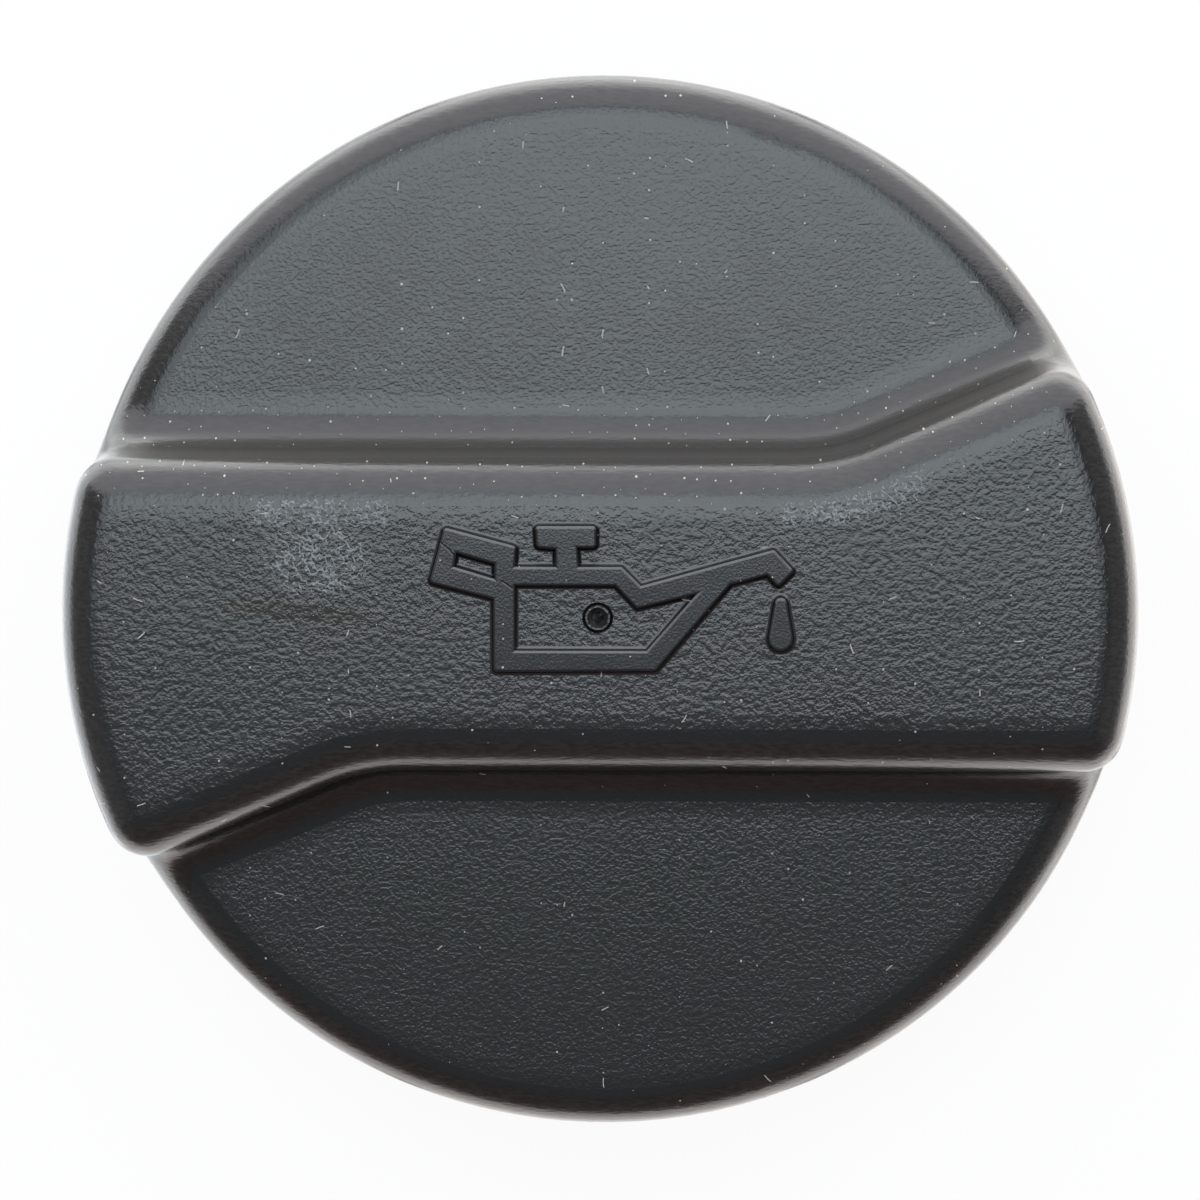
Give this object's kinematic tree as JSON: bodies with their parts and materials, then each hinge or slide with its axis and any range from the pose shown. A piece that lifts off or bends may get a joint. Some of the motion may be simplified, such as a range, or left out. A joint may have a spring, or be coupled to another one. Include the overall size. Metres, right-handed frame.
{
  "type": "oil filler cap",
  "caption": "Round black engine oil filler cap with a raised Z-shaped twist grip, an oil-can symbol, a bayonet spigot below and a rubber sealing ring.",
  "frame": {"origin": "on the cap's axis, in the plane where the sealing ring's bead meets the rim of the filler neck", "axes": "+Z along the axis, out of the engine, towards the grip; +X along the straight part of the grip bar"},
  "size_m": [0.08, 0.08, 0.0351],
  "materials": {
    "cover_plastic": "black glass-filled nylon, fine spark-eroded grain on the flats, satin edges",
    "insert_plastic": "black glass-filled nylon, smooth satin",
    "seal_rubber": "black nitrile rubber, matt"
  },
  "bodies": {
    "root": {"grip_cover": "cover_plastic", "bayonet_insert": "insert_plastic", "sealing_ring": "seal_rubber"}
  },
  "joints": []
}
